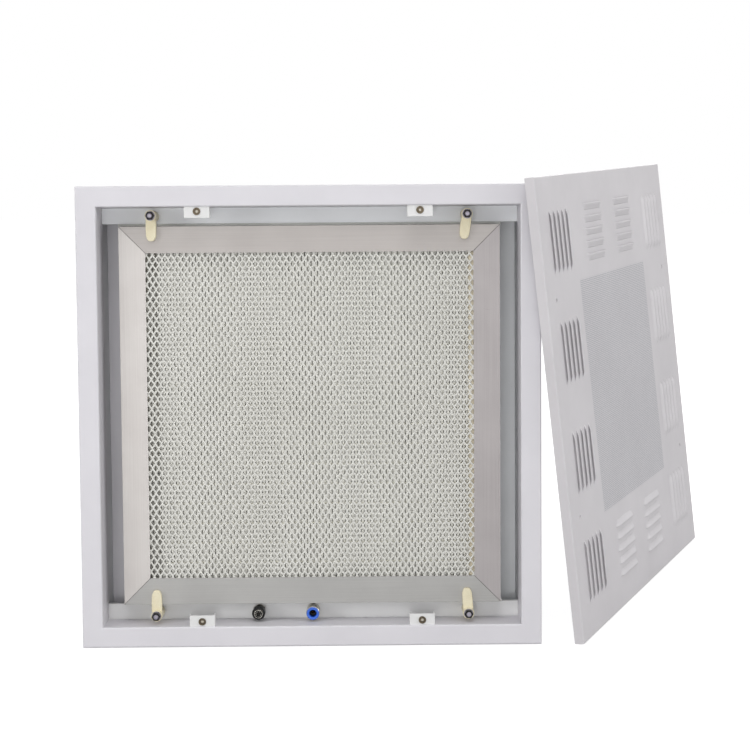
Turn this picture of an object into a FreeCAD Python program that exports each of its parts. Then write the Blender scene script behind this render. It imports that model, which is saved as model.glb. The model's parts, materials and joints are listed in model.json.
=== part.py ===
import FreeCAD, Part
import math
import os
import Sketcher
from FreeCAD import Placement, Rotation, Vector

# Ceiling air outlet with a HEPA filter: a powder-coated steel box with a flanged mouth, the
# filter clamped inside it by four clips, and its louvred face panel leaning beside it.
#
# The box is drawn in its face frame: x to the right, y up, z out of the mouth, with the origin
# in the middle of the mouth, in the front of the flange. The panel is drawn in a frame of its
# own, centred on its face. Both are stood on the floor at the end, +Z up.

doc = FreeCAD.newDocument("hepa_air_outlet")
sheet = doc.addObject("Spreadsheet::Sheet", "Sizes")

SIZES = {
    # housing
    "flange_side": 584, "mouth_side": 532, "steel": 1.5, "return_depth": 12, "bend": 2,
    "collar_depth": 52, "body_depth": 270, "rear_return": 20, "fit": 0.3, "slip": 0.2,
    "seat_opening": 440, "seat_return": 14,
    "duct_bore": 246, "duct_wall": 1, "duct_length": 60, "duct_flange": 18, "duct_bead": 3,
    "lug_width": 30, "lug_reach": 21, "lug_height": 24, "lug_steel": 3, "lug_hole": 10,
    "lug_line": 200, "lug_inset": 30,
    # filter
    "filter_side": 484, "filter_depth": 69, "filter_front": 28, "frame_face": 33.5,
    "frame_wall": 1.6, "gasket_depth": 6, "gasket_width": 15,
    "guard_sheet": 1, "guard_pitch_across": 41, "guard_pitch_up": 66,
    "guard_gap_across": 13, "guard_gap_up": 24,
    "pack_side": 464, "pleat_pitch": 4.1, "pleat_depth": 62, "paper": 0.4,
    # clamp rails, studs and clips
    "rail_width": 21.4, "rail_wall_leg": 20, "rail_lip": 8,
    "rail_line": 255.3, "stud_spacing": 400, "stud_radius": 3, "stud_length": 43,
    "stud_head": 5, "stud_head_height": 1.2,
    "clip_width": 14.5, "clip_reach": 32, "clip_tip": 8, "clip_arm": 6, "clip_head": 34.3,
    "clip_relief": 1.4, "clip_toe": 10, "clip_round": 1, "clip_shoulder": 0.5,
    "washer_radius": 6, "washer_height": 1.6, "nut_flats": 10, "nut_height": 5,
    # face panel fixings
    "tab_spacing_across": 280, "tab_spacing_up": 520, "tab_width": 32, "tab_drop": 14,
    "tab_depth": 13, "tab_inset": 2.5,
    "insert_bore": 2.1, "insert_radius": 3.45, "insert_flange": 4.75, "insert_flange_height": 1,
    "insert_length": 11, "insert_bulb": 4.4, "insert_bulb_height": 3.5,
    # test port and pressure port in the lower rail
    "port_spacing": 70, "port_stem": 5, "port_stem_length": 14, "port_flats": 15, "port_hex": 5,
    "port_bore": 3.2, "port_barrel": 6.2, "port_nose": 28, "port_rim": 5.2,
    "ring_radius": 8.4, "ring_start": 11, "ring_length": 14,
    "push_barrel": 8.5, "push_length": 24, "push_socket": 6.6, "push_socket_depth": 12,
    "collet_radius": 8.1, "collet_lip": 2.4, "collet_bore": 4.7, "collet_travel": 1.2,
    "tube_radius": 3, "tube_bore": 2, "tube_length": 52,
    # louvred face panel
    "panel_side": 594, "panel_steel": 1.2, "panel_rim": 13, "panel_bend": 1.5,
    "louvre_length": 86, "louvre_depth": 9.5, "louvre_height": 4.2, "louvre_lip": 1.5,
    "louvre_end": 3.5, "louvre_pitch": 17, "louvres": 5, "group_pitch": 142, "ring_line": 217,
    "panel_hole": 2.75, "panel_yaw": 24.6, "panel_lean": 7, "panel_nose": 4,
}
for row, (alias, number) in enumerate(SIZES.items(), start=1):
    sheet.set(f"A{row}", alias.replace("_", " "))
    sheet.set(f"B{row}", str(number))
    sheet.setAlias(f"B{row}", alias)
doc.recompute()


def bound(text):
    """Name the sheet in front of every size in an expression."""
    for alias in sorted(SIZES, key=len, reverse=True):
        text = text.replace(f"@{alias}", f"Sizes.{alias}")
    return text


def value(text):
    """Work an expression out now, as a plain number."""
    number = sheet.evalExpression(bound(str(text)))
    return float(getattr(number, "Value", number))


# Sizes that follow from others, as expressions
BODY_IN = "(@mouth_side + 2 * @steel + 2 * @fit)"
BODY_OUT = "(@mouth_side + 4 * @steel + 2 * @fit)"
IN_BODY = f"({BODY_IN} - 2 * @fit)"
FILTER_BACK = "(@filter_front + @filter_depth)"
SEAT_FACE = "(@filter_front + @filter_depth + @gasket_depth)"
FILTER_ROOM = "(@filter_side - 2 * @frame_wall)"
CLIP_UNDER = "(@collar_depth - @filter_front + @fit)"
NUT_SEAT = "(@clip_head + @slip)"


def new_body(label):
    made = doc.addObject("PartDesign::Body", label)
    made.Label = label
    return made


def origin_part(owner, role):
    return next(part for part in owner.Origin.OriginFeatures if part.Role == role)


def new_sketch(owner, name, role="XY_Plane", lift="0"):
    made = owner.newObject("Sketcher::SketchObject", f"{owner.Label}_{name}")
    made.AttachmentSupport = [(origin_part(owner, role), "")]
    made.MapMode = "FlatFace"
    made.setExpression("AttachmentOffset.Base.z", bound(lift))
    return made


def pin_point(sketch, line, end, x, y):
    """Hold one end of a line, or a centre, at x and y, each an expression."""
    for axis, kind, text in ((-2, "DistanceX", x), (-1, "DistanceY", y)):
        if text == "0":
            sketch.addConstraint(Sketcher.Constraint("PointOnObject", line, end, axis))
            continue
        number = sketch.addConstraint(Sketcher.Constraint(kind, -1, 1, line, end, value(text)))
        sketch.setExpression(f"Constraints[{number}]", bound(text))


def outline(sketch, points):
    """Draw a closed run of straight lines through points given as expressions."""
    spots = [Vector(value(x), value(y), 0) for x, y in points]
    first = sketch.GeometryCount
    count = len(spots)
    for index in range(count):
        sketch.addGeometry(Part.LineSegment(spots[index], spots[(index + 1) % count]), False)
    for index in range(count):
        after = first + (index + 1) % count
        sketch.addConstraint(Sketcher.Constraint("Coincident", first + index, 2, after, 1))
    for index, (x, y) in enumerate(points):
        pin_point(sketch, first + index, 1, x, y)


def box_outline(sketch, x_low, y_low, x_high, y_high):
    outline(sketch, [(x_low, y_low), (x_high, y_low), (x_high, y_high), (x_low, y_high)])


def square(sketch, side):
    half = f"({side}) / 2"
    box_outline(sketch, f"-{half}", f"-{half}", half, half)


def circle(sketch, radius, x="0", y="0"):
    spot = Vector(value(x), value(y), 0)
    number = sketch.addGeometry(Part.Circle(spot, Vector(0, 0, 1), value(radius)), False)
    pin_point(sketch, number, 3, x, y)
    held = sketch.addConstraint(Sketcher.Constraint("Radius", number, value(radius)))
    sketch.setExpression(f"Constraints[{held}]", bound(radius))


def pad(owner, name, sketch, length, back=True, middle=False):
    """Thicken a sketch: towards the back of the box unless told otherwise."""
    made = owner.newObject("PartDesign::Pad", f"{owner.Label}_{name}")
    made.Profile = sketch
    made.setExpression("Length", bound(length))
    made.Reversed = back and not middle
    made.Midplane = middle
    doc.recompute()
    return made


def pocket(owner, name, sketch):
    """Cut a sketch right through, and make sure that it took material away."""
    before = owner.Shape.Volume
    made = owner.newObject("PartDesign::Pocket", f"{owner.Label}_{name}")
    made.Profile = sketch
    made.Type = "ThroughAll"
    made.Midplane = True
    doc.recompute()
    if owner.Shape.Volume >= before:
        raise RuntimeError(f"{made.Name} cuts nothing")
    return made


def revolve(owner, name, points, angle=360):
    """Turn an outline given as (radius, z) about the z axis."""
    profile = new_sketch(owner, f"{name}_profile", "XZ_Plane")
    outline(profile, points)
    made = owner.newObject("PartDesign::Revolution", f"{owner.Label}_{name}")
    made.Profile = profile
    made.ReferenceAxis = (profile, ["V_Axis"])
    made.Angle = angle
    doc.recompute()
    return made


def round_edges(owner, name, radius, test):
    """Round the edges of the last feature whose middle passes the test."""
    base = owner.Tip
    names = []
    for number, edge in enumerate(base.Shape.Edges, start=1):
        if test(edge.BoundBox):
            names.append(f"Edge{number}")
    made = owner.newObject("PartDesign::Fillet", f"{owner.Label}_{name}")
    made.Base = (base, names)
    made.setExpression("Radius", bound(radius))
    doc.recompute()
    return made


def frame_section(owner, name, outer, inner, depth, lift="0"):
    """A square band of sheet: outer and inner sides, and how far back it reaches."""
    band = new_sketch(owner, f"{name}_band", lift=lift)
    square(band, outer)
    square(band, inner)
    return pad(owner, name, band, depth)


# Mouth frame: one folded sheet, a flange with a return at its rim and a collar going in
def mouth_frame():
    frame = new_body("mouth_frame")
    frame_section(frame, "flange", "@flange_side", "@mouth_side", "@steel")
    frame_section(frame, "return", "@flange_side", "@flange_side - 2 * @steel", "@return_depth")
    frame_section(frame, "collar", "@mouth_side + 2 * @steel", "@mouth_side", "@collar_depth")
    rims = (value("@flange_side") / 2, value("@mouth_side") / 2)

    def on_front_rim(box):
        reach = max(abs(box.XMax), abs(box.YMax), abs(box.XMin), abs(box.YMin))
        return abs(box.ZMin) < 1e-6 and abs(box.ZMax) < 1e-6 and any(
            abs(reach - rim) < 1e-6 for rim in rims)

    round_edges(frame, "bends", "@bend", on_front_rim)
    return frame


# Plenum body: four walls behind the flange, folded in at the rear
def plenum_body():
    walls = new_body("plenum_body")
    frame_section(walls, "walls", BODY_OUT, BODY_IN, "@body_depth - @steel", "-@steel")
    frame_section(walls, "rear", BODY_OUT, f"{BODY_OUT} - 2 * @rear_return", "@steel",
                  "@steel - @body_depth")
    return walls


# Back panel: a flat sheet inside the rear return, with the air inlet cut in it
def back_panel():
    panel = new_body("back_panel")
    face = new_sketch(panel, "face", lift="2 * @steel - @body_depth")
    square(face, IN_BODY)
    circle(face, "@duct_bore / 2")
    pad(panel, "sheet", face, "@steel")
    return panel


# Duct collar: a spun spigot with a bead for the duct clamp and a flange on the back panel
def duct_collar():
    collar = new_body("duct_collar")
    inner, wall = "@duct_bore / 2", "@duct_wall"
    seat, tail = "@steel - @body_depth", "@steel - @body_depth - @duct_length"
    bead = f"{tail} + @duct_length / 3"
    revolve(collar, "spigot", [
        (inner, seat),
        (f"{inner} + {wall} + @duct_flange", seat),
        (f"{inner} + {wall} + @duct_flange", f"{seat} - {wall}"),
        (f"{inner} + {wall}", f"{seat} - {wall}"),
        (f"{inner} + {wall}", f"{bead} + @duct_bead"),
        (f"{inner} + {wall} + @duct_bead", bead),
        (f"{inner} + {wall}", f"{bead} - @duct_bead"),
        (f"{inner} + {wall}", tail),
        (inner, tail),
    ])
    return collar


# Mitred channel: one of the four sides of a square frame, drawn at the top and turned
def mitred_channel(label, turn, half, inner, front, depth, hollow):
    """hollow is what the channel leaves open, as its low and high corners in y and z."""
    member = new_body(label)
    face = new_sketch(member, "face", lift=front)
    outline(face, [(f"-{half}", half), (half, half), (inner, inner), (f"-{inner}", inner)])
    pad(member, "bar", face, depth)
    section = new_sketch(member, "hollow", "YZ_Plane")
    box_outline(section, *hollow)
    pocket(member, "channel", section)
    member.Placement = Placement(Vector(), Rotation(Vector(0, 0, 1), turn))
    return member


# Filter seat: a folded steel channel, open at the back, that the filter's gasket is pressed on
def seat_rail(label, turn):
    half, inner = f"({IN_BODY} / 2)", "(@seat_opening / 2)"
    rail = mitred_channel(label, turn, half, inner, f"-{SEAT_FACE}", "@seat_return", (
        f"{inner} + @steel", f"-{SEAT_FACE} - @seat_return - @steel",
        f"{half} - @steel", f"-{SEAT_FACE} - @steel"))
    if label == "seat_rail_bottom":
        holes = new_sketch(rail, "tube_holes", lift=f"-{SEAT_FACE}")
        for across in ("@port_spacing", "0"):
            circle(holes, "@tube_radius + @fit", across, "@rail_line")
        pocket(rail, "tube_pocket", holes)
    return rail


# Clamp rail: a folded channel across the box, above or below the filter
def clamp_rail(label, side, ports):
    rail = new_body(label)
    wall = f"({IN_BODY} / 2)"
    face, skin = "-@collar_depth", "@steel"
    edge = f"({wall} - @rail_width)"
    back = f"({face} - @rail_wall_leg)"
    lip = f"({face} - @rail_lip)"
    profile = new_sketch(rail, "profile", "YZ_Plane")
    outline(profile, [(f"{side} * ({y})", z) for y, z in (
        (wall, face), (wall, back), (f"{wall} - {skin}", back), (f"{wall} - {skin}", f"{face} - {skin}"),
        (f"{edge} + {skin}", f"{face} - {skin}"), (f"{edge} + {skin}", lip), (edge, lip), (edge, face))])
    pad(rail, "channel", profile, IN_BODY, middle=True)
    line = f"{side} * @rail_line"
    holes = new_sketch(rail, "stud_holes")
    for across in ("-@stud_spacing / 2", "@stud_spacing / 2"):
        circle(holes, "@stud_radius + @slip / 4", across, line)
    for across in ports:
        circle(holes, "@port_stem + @slip", across, line)
    pocket(rail, "hole_pocket", holes)
    return rail


# Filter frame member: an extruded aluminium channel, open towards the filter paper
def filter_member(label, turn):
    half, inner = "(@filter_side / 2)", "(@filter_side / 2 - @frame_face)"
    return mitred_channel(label, turn, half, inner, "-@filter_front", "@filter_depth", (
        f"{inner} - @frame_wall", f"@frame_wall - {FILTER_BACK}",
        f"{half} - @frame_wall", "-@filter_front - @frame_wall"))


# Face guard: one sheet of expanded metal with staggered six-sided gaps, kept coarse here
def faceguard():
    guard = new_body("faceguard")
    front = "-@filter_front - @frame_wall"
    face = new_sketch(guard, "face", lift=front)
    square(face, f"{FILTER_ROOM} - 2 * @fit")
    pad(guard, "sheet", face, "@guard_sheet")
    window = value("@filter_side - 2 * @frame_face")
    across = int(window // value("@guard_pitch_across"))
    up = int(window // value("@guard_pitch_up"))
    gap = new_sketch(guard, "gap", lift=front)
    wide, tall = "@guard_gap_across / 2", "@guard_gap_up / 2"
    for step in (0, 1):
        x = f"@guard_pitch_across * ({step} / 2 + 1 / 4 - {across} / 2)"
        y = f"@guard_pitch_up * ({step} / 2 + 1 / 4 - {up} / 2)"
        outline(gap, [(f"{x} + {i} * {wide}", f"{y} + {j} * {tall}")
                      for i, j in ((1, 0.5), (0, 1), (-1, 0.5), (-1, -0.5), (0, -1), (1, -0.5))])
    cut = pocket(guard, "gap_pocket", gap)
    repeat(guard, "mesh", [cut], [
        line_of("X_Axis", f"@guard_pitch_across * ({across} - 1)", across),
        line_of("Y_Axis", f"@guard_pitch_up * ({up} - 1)", up)])
    return guard


def line_of(axis, length, count):
    return "PartDesign::LinearPattern", axis, length, count


def ring_of(count):
    return "PartDesign::PolarPattern", "Z_Axis", "360", count


def repeat(owner, name, originals, steps):
    """Repeat features along lines and round the z axis, one pattern after another."""
    before = owner.Shape.Volume
    many = owner.newObject("PartDesign::MultiTransform", f"{owner.Label}_{name}")
    many.Originals = originals
    patterns = []
    for number, (kind, axis, length, count) in enumerate(steps):
        pattern = doc.addObject(kind, f"{owner.Label}_{name}_{number}")
        owner.addObject(pattern)
        holder = (origin_part(owner, axis), [""])
        if kind.endswith("LinearPattern"):
            pattern.Direction = holder
            pattern.setExpression("Length", bound(length))
        else:
            pattern.Axis = holder
            pattern.Angle = float(length)
        pattern.setExpression("Occurrences", bound(str(count)))
        patterns.append(pattern)
    many.Transformations = patterns
    owner.Tip = many
    doc.recompute()
    if abs(owner.Shape.Volume - before) < 1e-6:
        raise RuntimeError(f"{many.Name} repeats nothing")
    return many


# Media pack: filter paper folded to and fro in narrow upright pleats
def media_pack():
    pack = doc.addObject("Part::Feature", "media_pack")
    side, pitch = value("@pack_side"), value("@pleat_pitch")
    depth = value("@pleat_depth")
    front = -value("@filter_front + @frame_wall + @guard_sheet + @fit")
    folds = 2 * int(side // pitch)
    leg = side / folds
    skin = value("@paper") * math.hypot(leg, depth) / leg
    low = -side / 2
    upper = [Vector(-side / 2 + leg * n, low, front - (depth - skin) * (n % 2))
             for n in range(folds + 1)]
    lower = [point - Vector(0, 0, skin) for point in reversed(upper)]
    paper = Part.Face(Part.makePolygon(upper + lower + upper[:1]))
    pack.Shape = paper.extrude(Vector(0, side, 0))
    return pack


# Potting: the resin that seals the pack's edges into the frame
def potting_seal():
    seal = new_body("potting_seal")
    front = "-@filter_front - @frame_wall - @guard_sheet"
    depth = "@filter_depth - 2 * @frame_wall - @guard_sheet"
    frame_section(seal, "band", FILTER_ROOM, "@pack_side", depth, front)
    return seal


# Gasket: a foam band on the back of the filter frame
def filter_gasket():
    gasket = new_body("filter_gasket")
    frame_section(gasket, "band", "@filter_side", "@filter_side - 2 * @gasket_width",
                  "@gasket_depth", f"-{FILTER_BACK}")
    return gasket


# Fixing tab: a small folded bracket on the collar, with a rivet nut for the face panel's screw
def fixing_tab(label):
    tab = new_body(label)
    half, skin = "@tab_width / 2", "@steel"
    wall = "(@mouth_side / 2 - @tab_spacing_up / 2)"
    block = new_sketch(tab, "block")
    box_outline(block, f"-{half}", f"{wall} - @tab_drop", half, wall)
    pad(tab, "block_pad", block, "@tab_depth")
    hollow = new_sketch(tab, "hollow", "XY_Plane", f"-{skin}")
    box_outline(hollow, f"{skin} - {half}", f"{wall} - @tab_drop - {skin}",
                f"{half} - {skin}", f"{wall} - {skin}")
    cut = tab.newObject("PartDesign::Pocket", f"{label}_fold")
    cut.Profile = hollow
    cut.Type = "Length"
    cut.setExpression("Length", bound("@tab_depth"))
    doc.recompute()
    hole = new_sketch(tab, "hole")
    circle(hole, "@insert_radius + @slip / 4")
    pocket(tab, "hole_pocket", hole)
    return tab


# Rivet nut: a threaded insert, its bulb set behind the tab
def rivet_nut(label):
    insert = new_body(label)
    bore, body, bulb = "@insert_bore", "@insert_radius", "@insert_bulb"
    revolve(insert, "shell", [
        (bore, "@insert_flange_height"), ("@insert_flange", "@insert_flange_height"),
        ("@insert_flange", "0"), (body, "0"), (body, "-@steel - @slip"),
        (bulb, "-@steel - @slip - @insert_bulb_height / 2"),
        (body, "-@steel - @slip - @insert_bulb_height"),
        (body, "-@insert_length"), (bore, "-@insert_length")])
    return insert


# Clip stud: a threaded stud with its head behind the rail's face
def clip_stud(label):
    stud = new_body(label)
    end, tip = "@stud_radius / 4", "@stud_length"
    revolve(stud, "shank", [
        ("0", f"-@steel - @stud_head_height"), ("@stud_head", f"-@steel - @stud_head_height"),
        ("@stud_head", "-@steel"), ("@stud_radius", "-@steel"), ("@stud_radius", f"{tip} - {end}"),
        (f"@stud_radius - {end}", tip), ("0", tip)])
    return stud


# Filter clip: a moulded nylon arm on a round boss, whose toe holds the filter's frame
def filter_clip(label):
    clip = new_body(label)
    half, toe = "@clip_width / 2", "@clip_reach - @clip_toe"
    boss = new_sketch(clip, "boss", lift="@fit")
    circle(boss, half)
    pad(clip, "boss_pad", boss, "@clip_head - @fit", back=False)
    arm = new_sketch(clip, "arm", lift=CLIP_UNDER)
    side, tip = f"({half} - @clip_shoulder)", "(@clip_tip / 2)"
    outline(arm, [(f"-{side}", "0"), (f"-{side}", "@clip_reach / 2"),
                  (f"-{tip}", "@clip_reach - @clip_tip / 4"), (f"-{tip} / 2", "@clip_reach"),
                  (f"{tip} / 2", "@clip_reach"), (tip, "@clip_reach - @clip_tip / 4"),
                  (side, "@clip_reach / 2"), (side, "0")])
    pad(clip, "arm_pad", arm, "@clip_arm", back=False)
    under = new_sketch(clip, "under", "YZ_Plane")
    box_outline(under, half, f"{CLIP_UNDER} - @clip_relief", toe, f"{CLIP_UNDER} + @clip_relief")
    pocket(clip, "relief", under)
    top = value(f"{CLIP_UNDER} + @clip_arm")
    edge_start = value(half)

    def on_arm_top(box):
        return abs(box.ZMin - top) < 1e-6 and abs(box.ZMax - top) < 1e-6 and box.YMax > edge_start + 0.5

    round_edges(clip, "soft_edges", "@clip_round", on_arm_top)
    bore = new_sketch(clip, "bore")
    circle(bore, "@stud_radius + @slip / 2")
    pocket(clip, "bore_pocket", bore)
    return clip


def clip_washer(label):
    washer = new_body(label)
    band = new_sketch(washer, "band", lift=NUT_SEAT)
    circle(band, "@washer_radius")
    circle(band, "@stud_radius + @slip / 2")
    pad(washer, "disc", band, "@washer_height", back=False)
    return washer


# Hexagon nut: a prism cut to a chamfer by a cone, with its bore
def hex_nut(label, flats, height, bore, seat):
    """seat is where the nut's back lies on its axis."""
    prism = doc.addObject("Part::Prism", f"{label}_prism")
    prism.Polygon = 6
    prism.setExpression("Circumradius", bound(f"({flats}) / sqrt(3)"))
    prism.setExpression("Height", bound(height))
    cone = doc.addObject("Part::Cone", f"{label}_cone")
    cone.setExpression("Radius1", bound(f"({flats}) / 2 + ({height}) * sqrt(3)"))
    cone.setExpression("Radius2", bound(f"({flats}) / 2"))
    cone.setExpression("Height", bound(height))
    turned = doc.addObject("Part::Common", f"{label}_turned")
    turned.Base, turned.Tool = prism, cone
    hole = doc.addObject("Part::Cylinder", f"{label}_hole")
    hole.setExpression("Radius", bound(bore))
    hole.setExpression("Height", bound(height))
    nut = doc.addObject("Part::Cut", label)
    nut.Label = label
    nut.Base, nut.Tool = turned, hole
    nut.Placement = Placement(Vector(0, 0, value(seat)), Rotation())
    return nut


# Test port: a nickel nipple through the lower rail, with a hexagon and a black ring nut
def test_port_body():
    port = new_body("test_port_body")
    revolve(port, "barrel", [
        ("@port_bore", "-@port_stem_length"), ("@port_stem", "-@port_stem_length"),
        ("@port_stem", "0"), ("@port_barrel", "0"), ("@port_barrel", "@ring_start + @ring_length"),
        ("@port_rim", "@port_nose"), ("@port_bore", "@port_nose")])
    wrench_flats(port, "@port_bore")
    return port


def wrench_flats(owner, bore):
    """Add a hexagon that seats on the rail's face round a bored barrel."""
    corner = "@port_flats / sqrt(3)"
    hexagon = new_sketch(owner, "hexagon")
    outline(hexagon, [(f"{corner} * cos({60 * n + 30} deg)", f"{corner} * sin({60 * n + 30} deg)")
                      if n % 3 != 1 else ("0", f"{corner} * sin({60 * n + 30} deg)")
                      for n in range(6)])
    circle(hexagon, bore)
    return pad(owner, "hexagon_pad", hexagon, "@port_hex", back=False)


def test_port_ring():
    ring = new_body("test_port_ring")
    start, end = "@ring_start", "(@ring_start + @ring_length)"
    bore, rim = "@port_barrel + @slip / 2", "@ring_radius"
    revolve(ring, "sleeve", [
        (bore, start), (rim, start), (rim, f"{end} - 1"), (f"{rim} - 1", end), (bore, end)])
    return ring


# Pressure port: a push-in fitting whose blue collet is pressed in to free the tube
def push_fitting_body():
    fitting = new_body("push_fitting_body")
    revolve(fitting, "barrel", [
        ("@port_bore", "-@port_stem_length"), ("@port_stem", "-@port_stem_length"),
        ("@port_stem", "0"), ("@push_barrel", "0"), ("@push_barrel", "@push_length - 1"),
        ("@push_barrel - 1", "@push_length"), ("@push_socket", "@push_length"),
        ("@push_socket", "@push_length - @push_socket_depth"),
        ("@port_bore", "@push_length - @push_socket_depth")])
    return fitting


def push_fitting_collet():
    collet = new_body("push_fitting_collet")
    rest = "(@push_length + @collet_travel + @fit)"
    sleeve = "@push_socket - @fit"
    revolve(collet, "sleeve", [
        ("@collet_bore", "@push_length - @push_socket_depth / 2"),
        (sleeve, "@push_length - @push_socket_depth / 2"), (sleeve, rest),
        ("@collet_radius", rest), ("@collet_radius", f"{rest} + @collet_lip - 0.6"),
        ("@collet_radius - 0.6", f"{rest} + @collet_lip"),
        ("@collet_bore + 0.8", f"{rest} + @collet_lip"),
        ("@collet_bore", f"{rest} + @collet_lip - 0.8")])
    return collet


# Tube: a straight metal tube from a port, through the filter seat, into the plenum
def port_tube(label):
    tube = new_body(label)
    band = new_sketch(tube, "band", lift="-@port_stem_length")
    circle(band, "@tube_radius")
    circle(band, "@tube_bore")
    pad(tube, "pipe", band, "@tube_length")
    return tube


# Hanging lug: a welded angle with a hole for a hanger rod
def hanging_lug(label):
    lug = new_body(label)
    half = "@lug_width / 2"
    shelf = new_sketch(lug, "shelf")
    box_outline(shelf, "0", f"-{half}", "@lug_reach", half)
    circle(shelf, "@lug_hole / 2", "@lug_reach / 2 + @lug_steel / 2", "0")
    pad(lug, "shelf_pad", shelf, "@lug_steel")
    leg = new_sketch(lug, "leg")
    box_outline(leg, "0", f"-{half}", "@lug_steel", half)
    pad(lug, "leg_pad", leg, "@lug_height")
    return lug


# One louvre: a wedge-shaped hood pressed out of the sheet, open along its lip
def louvre(owner, name, x, y, turn):
    """The lip of the hood faces away from the middle of the panel, towards turn."""
    steel, high = "@panel_steel", "@louvre_height"
    slope = f"((@louvre_depth - @louvre_lip) / ({high} + {steel} / 2))"
    wall = f"({steel} * sqrt(1 + {slope} * {slope}))"
    half, end = "(@louvre_length / 2)", "@louvre_end"
    under, over = f"(-{steel} - @slip)", f"({high} - {steel})"
    shapes = {
        "AdditiveWedge": {
            "Ymin": f"-{steel} / 2", "Ymax": high,
            "Xmin": f"-{half}", "Xmax": half, "X2min": f"{end} - {half}", "X2max": f"{half} - {end}",
            "Zmin": "0", "Zmax": "@louvre_depth",
            "Z2min": "@louvre_depth - @louvre_lip", "Z2max": "@louvre_depth"},
        "SubtractiveWedge": {
            "Ymin": under, "Ymax": over,
            "Xmin": f"{steel} - {half}", "Xmax": f"{half} - {steel}",
            "X2min": f"{end} + {steel} / 2 - {half}", "X2max": f"{half} - {end} - {steel} / 2",
            "Zmin": f"({under} + {steel} / 2) * {slope} + {wall}", "Zmax": "@louvre_depth + @slip",
            "Z2min": f"({over} + {steel} / 2) * {slope} + {wall}",
            "Z2max": "@louvre_depth + @slip"},
    }
    lip = Rotation(Vector(0, 0, 1), turn).multVec(Vector(0, 1, 0))
    along = Vector(0, 0, 1).cross(lip)
    made = []
    for kind, sizes in shapes.items():
        wedge = owner.newObject(f"PartDesign::{kind}", f"{owner.Label}_{name}_{kind}")
        for size, text in sizes.items():
            wedge.setExpression(size, bound(text))
        wedge.Placement = Placement(Vector(), Rotation(along, Vector(0, 0, 1), lip, "XYZ"))
        wedge.setExpression("Placement.Base.x", bound(x))
        wedge.setExpression("Placement.Base.y", bound(y))
        doc.recompute()
        made.append(wedge)
    return made


# Face panel: a shallow pan with twelve groups of louvres round a plain middle
def diffuser_panel():
    panel = new_body("diffuser_panel")
    face = new_sketch(panel, "face")
    square(face, "@panel_side")
    pad(panel, "sheet", face, "@panel_steel")
    frame_section(panel, "rim", "@panel_side", "@panel_side - 2 * @panel_steel", "@panel_rim")
    reach = value("@panel_side") / 2

    def on_front_rim(box):
        far = max(abs(box.XMax), abs(box.YMax), abs(box.XMin), abs(box.YMin))
        return abs(box.ZMin) < 1e-6 and abs(box.ZMax) < 1e-6 and abs(far - reach) < 1e-6

    round_edges(panel, "bends", "@panel_bend", on_front_rim)
    holes = new_sketch(panel, "holes")
    for x in ("-@tab_spacing_up / 2", "@tab_spacing_up / 2"):
        for y in ("-@tab_spacing_across / 2", "@tab_spacing_across / 2"):
            circle(holes, "@panel_hole", x, y)
    pocket(panel, "hole_pocket", holes)
    first = "(-@ring_line - @louvre_pitch * (@louvres - 1) / 2)"
    run = "@louvre_pitch * (@louvres - 1)"
    centre = "@louvre_depth / 2"
    column = louvre(panel, "column", f"{first} + {centre}", "-@group_pitch * 3 / 2", 90)
    repeat(panel, "columns", column, [
        line_of("X_Axis", run, "@louvres"), line_of("Y_Axis", "@group_pitch * 3", 4), ring_of(2)])
    lower = louvre(panel, "row", "-@group_pitch / 2", f"{first} + {centre}", 180)
    repeat(panel, "rows", lower, [
        line_of("Y_Axis", run, "@louvres"), line_of("X_Axis", "@group_pitch", 2), ring_of(2)])
    return panel


def shift(node, x="0", y="0", z="0", turn=0):
    """Move a node within the face frame, turning it about its own z axis first."""
    spot = Placement(Vector(value(x), value(y), value(z)), Rotation(Vector(0, 0, 1), turn))
    node.Placement = spot.multiply(node.Placement)
    return node


def group(label, pieces):
    """Like pieces that stay in place, as one node of separate solids."""
    made = doc.addObject("Part::Compound", label)
    made.Label = label
    made.Links = pieces
    doc.recompute()
    return made


nodes = [mouth_frame(), plenum_body(), back_panel(), duct_collar()]
for side, turn in (("top", 0), ("left", 90), ("bottom", 180), ("right", 270)):
    nodes.append(seat_rail(f"seat_rail_{side}", turn))
nodes.append(clamp_rail("clamp_rail_top", 1, ()))
nodes.append(clamp_rail("clamp_rail_bottom", -1, ("-@port_spacing", "0")))
for label, turn in (("filter_rail_top", 0), ("filter_stile_left", 90),
                    ("filter_rail_bottom", 180), ("filter_stile_right", 270)):
    nodes.append(filter_member(label, turn))
nodes += [faceguard(), media_pack(), potting_seal(), filter_gasket()]

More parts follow.
